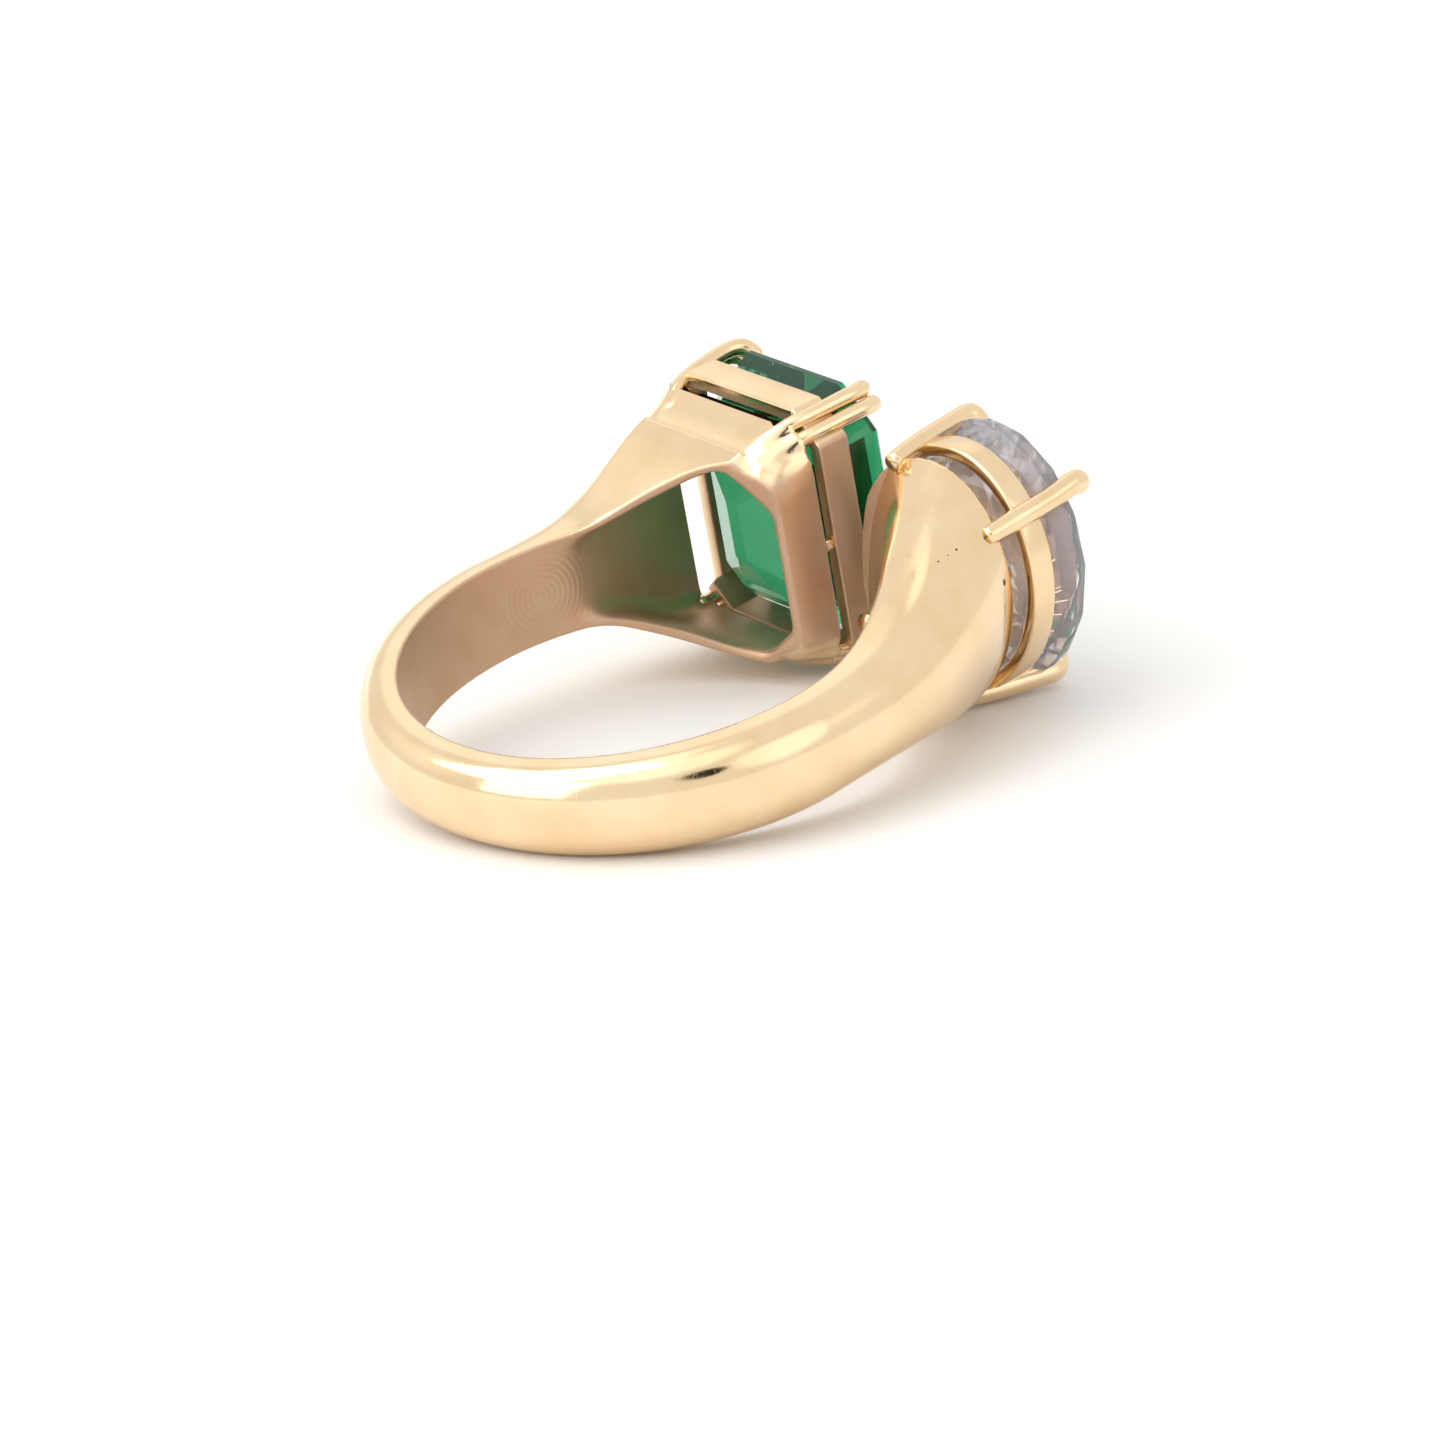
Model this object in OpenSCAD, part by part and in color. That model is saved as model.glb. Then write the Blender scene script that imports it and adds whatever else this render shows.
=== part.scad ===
// Two-stone cocktail ring: a yellow gold band whose two arms end side by side, one in a box
// setting that holds a green emerald-cut stone, the other in a trumpet cup that holds a white
// oval stone. All sizes are in millimetres.
//
// Every module is drawn in the ring's own frame: the origin is the centre of the finger hole,
// +Z is the finger's axis, +X points from the palm side to the stones, and +Y points to the
// green stone. lie_down() then leans the whole ring as it rests on its side on a flat table.

/* [Finger hole] */
// Diameter of the finger hole
finger_d = 16.5; // [15.5:0.1:19]

/* [Band] */
// Width of the band at the palm side
palm_w = 3.2; // [2.6:0.1:4]
// Thickness of the band at the palm side
palm_t = 1.5; // [1.2:0.1:2.2]
// Width of both arms beside the finger
arm_w = 3.7; // [3.2:0.1:4.2]
// Thickness of both arms beside the finger
arm_t = 1.75; // [1.4:0.05:2.2]
// Height of the straight side of the domed section
side_h = 0.35; // [0.2:0.05:0.6]

/* [Green setting] */
// Outer length of the box setting along the finger
box_l = 10.2; // [9:0.1:11]
// Outer width of the box setting across the finger
box_w = 8.3; // [7:0.1:9]
// Offset of the box setting's middle from the ring's middle
box_y = 5.6; // [5:0.1:6.2]
// Leg of the cut corners
box_corner = 1.2; // [0.8:0.1:1.6]
// Wall thickness of the collet and of the upper rail
box_wall = 0.55; // [0.5:0.05:0.9]
// Diameter of a claw wire
green_claw_d = 0.56; // [0.5:0.02:0.6]

/* [Green stone] */
// Length of the emerald-cut stone
green_l = 9.8; // [9:0.1:11]
// Width of the emerald-cut stone
green_w = 8; // [7:0.1:9]
// Leg of the stone's cut corners
green_corner = 1.5; // [1:0.1:2]

/* [White setting] */
// Long diameter of the cup's rim
cup_l = 9.1; // [8:0.1:10]
// Short diameter of the cup's rim
cup_w = 7.9; // [7:0.1:9]
// Offset of the cup's middle from the ring's middle
cup_y = -3.3; // [-3.8:0.1:-2.8]
// Turn of the oval's long axis away from the finger's axis
cup_turn = 19; // [0:1:40]
// Lean of the cup along the finger's axis
cup_lean = 5; // [0:1:8]
// Diameter of a claw wire
white_claw_d = 0.75; // [0.6:0.05:1]

/* [White stone] */
// Long diameter of the oval stone
white_l = 10; // [9:0.1:11]
// Short diameter of the oval stone
white_w = 8.6; // [7.5:0.1:9.5]

/* [Hidden] */

GOLD = [0.86, 0.68, 0.42];
GREEN = [0.02, 0.42, 0.22];
WHITE = [0.90, 0.90, 0.96, 0.6];

finger_r = finger_d / 2;
hole_reach = 20;      // longer than the ring is wide
cut_in = 0.3;         // how far a section starts inside the finger hole before the hole is cut

// Levels along X of the green setting, from the shoulder's flat face outwards.
collet_x0 = 7.2;      // the shoulder's face that carries the collet
collet_x1 = 9.8;      // the collet's upper edge
rail_x0 = 10.22;      // the rail's lower edge, a slit above the collet
rail_x1 = 11.54;      // the rail's upper edge
collet_l0 = 7.66;     // the collet's length along the finger where it leaves the shoulder
green_girdle_x = 12.85;
green_claw_x0 = 9.4;  // the claws' feet, sunk in the collet
green_claw_x1 = 13.0; // the bend of the claws

// The cup's rim, and levels above it.
cup_x = 10.65;
gallery_z0 = 0.8;
gallery_z1 = 1.8;
white_girdle_z = 2.95;
white_claw_z0 = -0.1; // the claws' feet, sunk in the cup's rim
white_claw_z1 = 3.5;  // the bend of the claws

// ---------- helpers ----------

function mix(a, b, k) = a + (b - a) * k;
function ease(k) = let (u = min(1, max(0, k))) u * u * (3 - 2 * u);

// Cubic through the rows of a table [position, value, value, ...]; c is the column.
function row_of(t, x, i = 0) = i >= len(t) - 2 || x <= t[i + 1][0] ? i : row_of(t, x, i + 1);
function slope(t, i, c) =
    let (a = max(0, i - 1), b = min(len(t) - 1, i + 1)) (t[b][c] - t[a][c]) / (t[b][0] - t[a][0]);
function curve(t, x, c) =
    let (i = row_of(t, x), h = t[i + 1][0] - t[i][0], u = (x - t[i][0]) / h)
    (1 + 2 * u) * pow(1 - u, 2) * t[i][c] + u * pow(1 - u, 2) * h * slope(t, i, c)
    + u * u * (3 - 2 * u) * t[i + 1][c] - u * u * (1 - u) * h * slope(t, i + 1, c);

// Outline of a rectangle with cut corners, centred, l along X and w along Y.
function cut_rect(l, w, c) = let (a = l / 2, b = w / 2) [
    [a, b - c], [a - c, b], [c - a, b], [-a, b - c],
    [-a, c - b], [c - a, -b], [a - c, -b], [a, c - b]];

// Rings of points joined into one closed solid.
function middle(ring) = [for (c = [0:2])
    [for (p = ring) p[c]] * [for (p = ring) 1 / len(ring)]];
module loft(rings) {
    n = len(rings[0]);
    last = len(rings) - 1;
    sides = [for (r = [0:last - 1]) for (k = [0:n - 1])
        [r * n + k, (r + 1) * n + k, (r + 1) * n + (k + 1) % n, r * n + (k + 1) % n]];
    mid = (last + 1) * n;   // the middles of the two end rings follow the rings' own points
    caps = [for (k = [0:n - 1]) let (j = (k + 1) % n)
        each [[mid, k, j], [mid + 1, last * n + j, last * n + k]]];
    polyhedron(
        points = concat([for (r = rings) for (p = r) p], [middle(rings[0]), middle(rings[last])]),
        faces = concat(sides, caps), convexity = 8);
}

// A stack of outlines [z, outline] along Z.
module stack(levels) loft([for (v = levels) [for (p = v[1]) [p[0], p[1], v[0]]]]);

// Children stand at a and point to b.
module along(a, b) {
    v = b - a;
    translate(a) rotate([0, acos(v[2] / norm(v)), atan2(v[1], v[0])]) children();
}

// A straight wire from a to b, flat at a.
module post(a, b, d) along(a, b) cylinder(d = d, h = norm(b - a), $fn = 24);

// A claw: a wire from foot to knee, and a thicker rounded bead from the knee to the tip.
module claw(foot, knee, tip, d, bead) {
    post(foot, knee, d);
    along(knee, tip) rotate_extrude($fn = 24) intersection() {
        union() {
            circle(d = bead, $fn = 24);
            square([bead / 2, norm(tip - knee)]);
            translate([0, norm(tip - knee)]) circle(d = bead, $fn = 24);
        }
        translate([0, -d]) square([d, norm(tip - knee) + 2 * d]);
    }
}

// ---------- placing ----------

// The ring lies on its side, on the palm side of the band and on both settings.
lean_back = 9.9;
lean_side = 4.6;
module lie_down() rotate([lean_side, 0, 0]) rotate([0, -lean_back, 0]) children();

// Local +Z points out of the setting, local X runs along the finger towards -Z.
module at_green() translate([0, box_y, 0]) rotate([0, 90, 0]) children();
module at_white()
    translate([cup_x, cup_y, 0]) rotate([0, 90 + cup_lean, 0]) rotate([0, 0, cup_turn]) children();

module finger_hole() cylinder(r = finger_r, h = hole_reach, center = true, $fn = 128);

// ---------- shank ----------

// A section is two half ovals that meet on the line v = mid: it reaches mid - inner towards
// the finger, mid + outer away from it, and half above and below. A power of 2 is an ellipse
// and a larger one is squarer; boxy = 1 is a rectangle with cut corners.
function gauge(d, a, h, power, boxy) = mix(
    pow(pow(abs(d[0]) / a, power) + pow(abs(d[1]) / h, power), 1 / power),
    max(abs(d[0]) / a, abs(d[1]) / h, (abs(d[0]) + abs(d[1])) / (a + h - box_corner)), boxy);
section_n = 36;
function section(mid, inner, outer, half, p_in, p_out, boxy, turn) = [for (k = [0:section_n - 1])
    let (t = 360 * (k + 0.5) / section_n,
         a = cos(t) > 0 ? outer : inner,
         d = [a * cos(t), half * sin(t)],
         s = 1 / gauge(d, a, half, cos(t) > 0 ? p_out : p_in, boxy))
    [mid + s * (d[0] * cos(turn) + d[1] * sin(turn)), s * (d[1] * cos(turn) - d[0] * sin(turn))]];

arm_out = finger_r + arm_t;

// Rows: x, inner reach, middle line, outer reach, half width, inner power, outer power, boxiness
green_arm = [
    [0.0, finger_r - cut_in, finger_r + side_h, arm_out, arm_w / 2, 8, 2.2, 0],
    [2.5, 7.50, 8.30, arm_out - 0.02, arm_w / 2 + 0.02, 8, 2.4, 0],
    [4.0, 6.50, 8.10, arm_out - 0.10, 2.05, 7, 2.8, 0.1],
    [5.2, 5.20, 7.90, arm_out - 0.18, 2.60, 6, 3.2, 0.35],
    [6.2, 3.80, 7.60, arm_out - 0.23, 3.22, 5, 4, 0.7],
    [collet_x0, 2.40, 7.40, box_y + box_w / 2, collet_l0 / 2, 5, 5, 1]];

// Rows: x, inner reach, middle line, outer reach, half width, inner power, outer power, turn, head
white_arm = [
    [0.0, finger_r - cut_in, finger_r + side_h, arm_out + 0.1, arm_w / 2, 8, 2.2, 0, 0],
    [3.0, 7.35, 8.20, arm_out - 0.05, arm_w / 2 + 0.1, 7, 2.2, 0, 0],
    [5.5, 5.90, 7.30, 9.50, 2.45, 5, 2.2, 4, 0.1],
    [7.6, 3.60, 5.90, 8.80, 3.30, 3, 2.1, 11, 0.45],
    [9.3, 1.30, 4.30, 8.05, 4.05, 2.3, 2, 17, 0.85],
    [cup_x, -cup_y - cup_w / 2, -cup_y, -cup_y + cup_w / 2, cup_l / 2, 2, 2, cup_turn, 1]];

palm_out = finger_r + palm_t;
function palm(angle) = let (k = ease(abs(angle - 180) / 90))
    section(finger_r + side_h, side_h + cut_in, mix(palm_t, arm_t, k) - side_h,
            mix(palm_w, arm_w, k) / 2, 8, 2.2, 0, 0);

function green_ring(x) =
    [for (p = section(curve(green_arm, x, 2), curve(green_arm, x, 2) - curve(green_arm, x, 1),
                      curve(green_arm, x, 3) - curve(green_arm, x, 2), curve(green_arm, x, 4),
                      curve(green_arm, x, 5), curve(green_arm, x, 6), curve(green_arm, x, 7), 0))
        [x, p[0], p[1]]];
function white_ring(x) = let (mid = curve(white_arm, x, 2))
    [for (p = section(mid, mid - curve(white_arm, x, 1), curve(white_arm, x, 3) - mid,
                      curve(white_arm, x, 4), curve(white_arm, x, 5), curve(white_arm, x, 6), 0,
                      curve(white_arm, x, 7)))
        [x + curve(white_arm, x, 8) * tan(cup_lean) * p[1], -p[0], p[1]]];
function palm_ring(angle) = [for (p = palm(angle)) [p[0] * cos(angle), p[0] * sin(angle), p[1]]];

palm_step = 7.5;
arm_steps = 12;
module shank_body() loft(concat(
    [for (i = [arm_steps + 2:-1:1]) white_ring(cup_x * i / (arm_steps + 2))],
    [for (a = [270:-palm_step:90]) palm_ring(a)],
    [for (i = [1:arm_steps]) green_ring(collet_x0 * i / arm_steps)]));

// The hollow under the white stone: a bowl with a leaning light hole to the finger's side.
light_hole_d = 2.2;
module cup_hollow() at_white() {
    translate([0, 0, -1.4]) cylinder(d1 = 3.4, d2 = 7.2, h = 1.9, $fn = 64);
    rotate([-20, 0, 0]) translate([0, 0, -6]) cylinder(d = light_hole_d, h = 6, $fn = 64);
}

// Rows: x, near side, far side, half width of the pocket scooped out of the shoulder and box
pocket = [
    [1.0, 4.0, 7.40, 1.2], [2.6, 4.0, 7.72, 1.45], [4.25, 4.0, 7.99, 1.65], [5.5, 3.2, 8.20, 2.2],
    [6.6, 2.6, 8.38, 2.9], [7.4, 2.2, 8.52, 3.40], [8.2, 2.15, 8.65, 3.60],
    [collet_x1 + 0.1, 2.1, 9.10, 4.30]];
module green_pocket() loft([for (p = pocket) let (c = 0.22 * p[3], h = p[3])
    [for (q = [[p[2], c - h], [p[2], h - c], [p[2] - c, h], [p[1] + c, h],
               [p[1], h - c], [p[1], c - h], [p[1] + c, -h], [p[2] - c, -h]]) [p[0], q[0], q[1]]]]);

module shank() color(GOLD) difference() {
    shank_body();
    finger_hole();
    green_pocket();
    cup_hollow();
    for (i = [1:4]) white_post(i);
}

// ---------- green setting ----------

module green_collet() color(GOLD) difference() {
    at_green() {
        stack([[collet_x0, cut_rect(collet_l0, box_w, box_corner)],
               [collet_x1, cut_rect(box_l - 0.28, box_w, box_corner)]]);
        translate([-solder_w / 2, -box_w / 2 + 0.1, collet_x1 - 0.2])
            cube([solder_w, box_wall - 0.2, rail_x0 - collet_x1 + 0.2]);
    }
    green_pocket();
    far_window();
    finger_hole();
    for (i = [1:8]) green_post(i);
}

// The slit is wider on the arm's side of the box.
module far_window() at_green() translate([-4, 2, rail_x0 - 0.8]) cube([8, box_w, 1.04]);

module green_rail() color(GOLD) difference() {
    at_green() translate([0, 0, rail_x0]) linear_extrude(rail_x1 - rail_x0) difference() {
        polygon(cut_rect(box_l, box_w, box_corner));
        polygon(cut_rect(box_l - 2 * box_wall, box_w - 2 * box_wall, box_corner - box_wall * 0.6));
    }
    far_window();
    for (i = [1:8]) green_post(i);
}

// Each cut corner carries a pair of wires side by side.
solder_w = 0.5;       // width of the solder bridge across the slit
claw_gap = 0.66;      // distance between the axes of a pair
claw_out = 0.12;      // how far the axes stand outside the cut corner
function green_claw_xy(i) =
    let (corner = floor((i - 1) / 2), sx = corner < 2 ? 1 : -1, sy = corner % 2 == 0 ? 1 : -1,
         mid = box_corner / 2 - claw_out * sqrt(0.5), step = (i % 2 - 0.5) * claw_gap * sqrt(0.5))
    [sx * (box_l / 2 - mid + step), sy * (box_w / 2 - mid - step)];
function green_foot(i) = concat(green_claw_xy(i), green_claw_x0);
function green_knee(i) = concat(green_claw_xy(i), green_claw_x1);
function green_tip(i) = concat(green_claw_xy(i) * 0.9, green_claw_x1 + 0.25);
module green_post(i) at_green() post(green_foot(i), green_knee(i), green_claw_d);
module green_claw(i) color(GOLD) difference() {
    at_green() claw(green_foot(i), green_knee(i), green_tip(i), green_claw_d, 1.05 * green_claw_d);
    green_stone_solid();
}

// ---------- green stone ----------

// Rows: level above the girdle, inset of the outline
green_steps = [
    [-3.80, 3.70], [-2.95, 1.95], [-2.00, 0.92], [-0.10, 0], [0.10, 0], [0.55, 0.45],
    [0.92, 1.00], [1.15, 1.60]];
module green_stone_solid() at_green() stack([for (s = green_steps)
    [green_girdle_x + s[0],
     cut_rect(green_l - 2 * s[1], green_w - 2 * s[1], green_corner * (1 - s[1] / (green_w / 2)))]]);
module green_stone() color(GREEN) green_stone_solid();

// ---------- white setting ----------

function oval(l, w, n = 48, from = 0) =
    [for (k = [0:n - 1]) let (t = from + 360 * k / n) [l / 2 * cos(t), w / 2 * sin(t)]];

module white_gallery() color(GOLD) difference() {
    at_white() stack([[gallery_z0, oval(cup_l + 0.4, cup_w + 0.4)],
                      [gallery_z1, oval(cup_l + 0.5, cup_w + 0.5)]]);
    at_white() stack([[gallery_z0 - 0.5, oval(cup_l - 0.8, cup_w - 0.8)],
                      [gallery_z1 + 0.5, oval(cup_l - 0.7, cup_w - 0.7)]]);
    white_stone_solid();
    for (i = [1:4]) white_post(i);
}

// The claws stand around the rim, each with its bend turned a little from its foot.
claw_twist = -6;
function white_rim(i, out, twist) = let (t = [38, 142, 218, 322][i - 1] + twist)
    [(cup_l / 2 + out) * cos(t), (cup_w / 2 + out) * sin(t)];
function white_foot(i) = concat(white_rim(i, 0.2, 0), white_claw_z0);
function white_knee(i) = concat(white_rim(i, 0.5, claw_twist), white_claw_z1);
function white_tip(i) = concat(white_rim(i, 0.2, claw_twist), white_claw_z1 + 0.3);
module white_post(i) at_white() post(white_foot(i), white_knee(i), white_claw_d);
module white_claw(i) color(GOLD) difference() {
    at_white() claw(white_foot(i), white_knee(i), white_tip(i), white_claw_d, 1.12 * white_claw_d);
    white_stone_solid();
}

// ---------- white stone ----------

// An oval brilliant: the hull of the corners of its facets.
crown_h = 1.35;
pavilion_h = 3.7;
module white_stone_solid() at_white() translate([0, 0, white_girdle_z]) hull() {
    stack([[-0.12, oval(white_l, white_w, 16)], [0.12, oval(white_l, white_w, 16)]]);
    stack([[crown_h * 0.62, oval(white_l * 0.80, white_w * 0.80, 8, 22.5)],
           [crown_h, oval(white_l * 0.58, white_w * 0.58, 8)]]);
    stack([[-pavilion_h, oval(0.2, 0.16, 8)], [-pavilion_h * 0.8, oval(white_l * 0.16, white_w * 0.16, 8)]]);
}
module white_stone() color(WHITE) white_stone_solid();

// ---------- parts ----------

lie_down() {
    shank();
    green_collet();
    green_rail();
    green_stone();
    for (i = [1:8]) green_claw(i);
    white_gallery();
    white_stone();
    for (i = [1:4]) white_claw(i);
}
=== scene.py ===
import math

import bmesh
import bpy
import numpy as np
from mathutils import Matrix, Vector


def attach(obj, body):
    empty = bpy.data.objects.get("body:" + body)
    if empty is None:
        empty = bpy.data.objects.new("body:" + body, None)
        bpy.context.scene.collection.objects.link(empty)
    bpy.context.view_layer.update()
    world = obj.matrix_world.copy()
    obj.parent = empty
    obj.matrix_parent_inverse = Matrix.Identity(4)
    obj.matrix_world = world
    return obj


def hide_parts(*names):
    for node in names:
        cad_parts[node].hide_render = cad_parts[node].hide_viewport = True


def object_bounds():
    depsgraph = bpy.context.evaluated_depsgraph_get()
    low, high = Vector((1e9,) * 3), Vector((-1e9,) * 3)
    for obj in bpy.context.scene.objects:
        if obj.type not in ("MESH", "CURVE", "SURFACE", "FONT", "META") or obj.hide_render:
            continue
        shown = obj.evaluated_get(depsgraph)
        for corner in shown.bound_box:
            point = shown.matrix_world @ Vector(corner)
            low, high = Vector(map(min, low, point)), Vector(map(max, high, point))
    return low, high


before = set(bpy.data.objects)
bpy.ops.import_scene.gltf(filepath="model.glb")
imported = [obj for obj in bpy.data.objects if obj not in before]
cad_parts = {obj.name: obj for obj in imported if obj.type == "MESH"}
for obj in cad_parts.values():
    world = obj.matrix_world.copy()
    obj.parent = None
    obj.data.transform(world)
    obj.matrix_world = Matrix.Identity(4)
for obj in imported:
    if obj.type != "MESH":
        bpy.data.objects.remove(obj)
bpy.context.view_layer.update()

MM = 0.001

# ---------- the ring's own frame ----------
# Everything is drawn in millimetres with the finger's axis along Z, as in the CAD, then laid
# down on its side.
LEAN_BACK, LEAN_SIDE = math.radians(9.9), math.radians(4.6)
LAY = Matrix.Rotation(LEAN_SIDE, 3, "X") @ Matrix.Rotation(-LEAN_BACK, 3, "Y")
LAY_NP = np.array(LAY)
FINGER_R = 8.25


def lay(points):
    return np.asarray(points, float) @ LAY_NP.T * MM


def new_mesh(name, verts, faces, smooth=True):
    me = bpy.data.meshes.new(name)
    me.from_pydata([tuple(v) for v in verts], [], [tuple(int(i) for i in f) for f in faces])
    me.validate()
    me.update()
    ob = bpy.data.objects.new(name, me)
    bpy.context.collection.objects.link(ob)
    for p in me.polygons:
        p.use_smooth = smooth
    return ob


def quad_mesh(name, verts, quads):
    """A mesh of quads only, made fast."""
    me = bpy.data.meshes.new(name)
    me.vertices.add(len(verts))
    me.vertices.foreach_set("co", np.asarray(verts, np.float32).ravel())
    me.loops.add(len(quads) * 4)
    me.loops.foreach_set("vertex_index", np.asarray(quads, np.int32).ravel())
    me.polygons.add(len(quads))
    me.polygons.foreach_set("loop_start", np.arange(0, len(quads) * 4, 4, dtype=np.int32))
    me.polygons.foreach_set("loop_total", np.full(len(quads), 4, np.int32))
    me.polygons.foreach_set("use_smooth", np.ones(len(quads), bool))
    me.update(calc_edges=True)
    me.validate()
    ob = bpy.data.objects.new(name, me)
    bpy.context.collection.objects.link(ob)
    return ob


# ---------- distance-field modelling ----------

def smax(a, b, k):
    h = np.maximum(k - np.abs(a - b), 0) / k
    return np.maximum(a, b) + h * h * k / 4


def smin(a, b, k):
    return -smax(-a, -b, k)


def ease(k):
    u = np.clip(k, 0, 1)
    return u * u * (3 - 2 * u)


class Spline:
    """Natural cubic spline through the rows of a table whose first column is the position."""

    def __init__(self, rows):
        t = np.array(rows, float)
        self.x, self.y = t[:, 0], t[:, 1:]
        n = len(self.x)
        h = np.diff(self.x)
        a = np.zeros((n, n))
        b = np.zeros((n, self.y.shape[1]))
        a[0, 0] = a[-1, -1] = 1
        for i in range(1, n - 1):
            a[i, i - 1], a[i, i], a[i, i + 1] = h[i - 1], 2 * (h[i - 1] + h[i]), h[i]
            b[i] = 6 * ((self.y[i + 1] - self.y[i]) / h[i] - (self.y[i] - self.y[i - 1]) / h[i - 1])
        self.m, self.h = np.linalg.solve(a, b), h

    def __call__(self, x, col):
        x = np.clip(x, self.x[0], self.x[-1])
        i = np.clip(np.searchsorted(self.x, x) - 1, 0, len(self.h) - 1)
        h, u, v = self.h[i], x - self.x[i], self.x[i + 1] - x
        y, m = self.y[:, col], self.m[:, col]
        return ((m[i] * v ** 3 + m[i + 1] * u ** 3) / (6 * h)
                + (y[i] / h - m[i] * h / 6) * v + (y[i + 1] / h - m[i + 1] * h / 6) * u)


# x, inner reach, middle line, outer reach, half width, inner power, outer power, boxiness
GREEN_ARM = Spline([
    [0.0, 7.95, 8.60, 10.00, 1.85, 8, 2.2, 0],
    [2.5, 7.50, 8.30, 9.98, 1.87, 8, 2.4, 0],
    [4.0, 6.50, 8.10, 9.90, 2.05, 7, 2.8, 0.1],
    [5.2, 5.20, 7.90, 9.82, 2.60, 6, 3.2, 0.35],
    [6.2, 3.80, 7.60, 9.77, 3.22, 5, 4, 0.7],
    [7.2, 2.40, 7.40, 9.75, 3.83, 5, 5, 1],
    [8.2, 2.00, 7.30, 9.75, 4.24, 5, 5, 1]])
# x, inner reach, middle line, outer reach, half width, inner power, outer power, turn in degrees, and
# how far the section leans with the cup, from 0 to 1
WHITE_ARM = Spline([
    [0.0, 7.95, 8.60, 10.10, 1.85, 8, 2.2, 0, 0],
    [3.0, 7.35, 8.20, 9.95, 1.95, 7, 2.2, 0, 0],
    [5.5, 5.90, 7.30, 9.50, 2.45, 5, 2.2, 4, 0.1],
    [7.6, 3.60, 5.90, 8.80, 3.30, 3, 2.1, 11, 0.45],
    [9.3, 1.30, 4.30, 8.05, 4.05, 2.3, 2, 17, 0.85],
    [10.65, -0.65, 3.30, 7.25, 4.55, 2, 2, 19, 1]])
# the cup's rim: its middle, the lean of its plane, the oval's turn in it, and its length and width
CUP = np.array([10.65, -3.3, 0.0])
CUP_LEAN, CUP_TURN = math.radians(5), math.radians(19)
CUP_L, CUP_W = 9.1, 7.9
# the bowl under the white stone: its reach at the rim as a part of the rim, how that narrows, its depth
BOWL_REACH, BOWL_TAPER, BOWL_DEPTH = 0.80, 0.33, 1.4
# the light hole's radius, and how far it goes sideways for each millimetre down
HOLE_R, HOLE_LEAN = 0.85, 0.5
# the box: its middle across the finger, and its length, width and cut corner at the rail
BOX_Y, BOX_L, BOX_W, CORNER = 5.6, 10.2, 8.3, 1.2
# the box's ends lean outwards: x and half length at the shoulder, and the slope from there
SHOULDER_X, SHOULDER_HALF, END_SLOPE = 7.2, 3.83, 0.4065
# the collet's top, and the rail's bottom, top and wall
COLLET_X1, RAIL_X0, RAIL_X1, RAIL_WALL = 9.80, 10.22, 11.54, 0.55
# distance between the two wires at a corner of the box
CLAW_GAP = 0.66
# a claw's radius at each point of its path
GREEN_CLAW_R = [0.24, 0.28, 0.29, 0.30, 0.31, 0.32, 0.28]
WHITE_CLAW_R = [0.34, 0.39, 0.41, 0.42, 0.43, 0.39]
# the stones' length and width, the green one's cut corner, and the girdle's height from the finger's
# axis (green) or the cup's rim (white)
GREEN_L, GREEN_W, GREEN_CUT, GREEN_GIRDLE = 9.8, 8, 1.5, 12.85
WHITE_L, WHITE_W, WHITE_GIRDLE = 10.0, 8.6, 2.95


def gauge_gap(d, v, a, h, power, boxy):
    """How far (d, v) is past the outline, along the ray from the middle."""
    da, vh = np.abs(d) / a, np.abs(v) / h
    da, vh = np.maximum(da, 1e-6), np.maximum(vh, 1e-6)
    oval = (da ** power + vh ** power) ** (1 / power)
    box = np.maximum(np.maximum(da, vh), (np.abs(d) + np.abs(v)) / np.maximum(a + h - CORNER, 0.3))
    g = oval + (box - oval) * boxy
    r = np.hypot(d, v)
    return r * (1 - 1 / np.maximum(g, 1e-3))


def band_gap(x, y, z):
    """The palm half of the band: D-shaped, thicker and wider beside the finger than at the palm."""
    beside = ease(np.abs(np.degrees(np.arctan2(y, x)) % 360 - 180) / 90)
    outer = 1.5 + 0.25 * beside + np.where(y < 0, 0.1, 0.0) * beside - 0.35
    half = (3.2 + 0.5 * beside) / 2
    d = np.hypot(x, y) - 8.6
    return np.where(d > 0, gauge_gap(d, z, outer, half, 2.2, 0), gauge_gap(d, z, 0.65, half, 8, 0))


def green_arm_gap(x, y, z):
    """The arm that widens into the box; it ends inside the box."""
    mid, half, boxy = GREEN_ARM(x, 1), GREEN_ARM(x, 3), np.clip(GREEN_ARM(x, 6), 0, 1)
    d = y - mid
    f = np.where(d > 0, gauge_gap(d, z, GREEN_ARM(x, 2) - mid, half, GREEN_ARM(x, 5), boxy),
                 gauge_gap(d, z, mid - GREEN_ARM(x, 0), half, GREEN_ARM(x, 4), boxy))
    return smax(f, x - 8.2, 0.1)


def white_arm_gap(x, y, z):
    """The arm that opens into the cup; its sections turn and lean as they near the rim."""
    s = x - WHITE_ARM(x, 7) * math.tan(CUP_LEAN) * z
    mid, half = WHITE_ARM(s, 1), WHITE_ARM(s, 3)
    turn = np.radians(WHITE_ARM(s, 6))
    out, up = -y - mid, z
    d, v = out * np.cos(turn) - up * np.sin(turn), out * np.sin(turn) + up * np.cos(turn)
    return np.where(d > 0, gauge_gap(d, v, WHITE_ARM(s, 2) - mid, half, WHITE_ARM(s, 5), 0),
                    gauge_gap(d, v, mid - WHITE_ARM(s, 0), half, WHITE_ARM(s, 4), 0))


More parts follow.
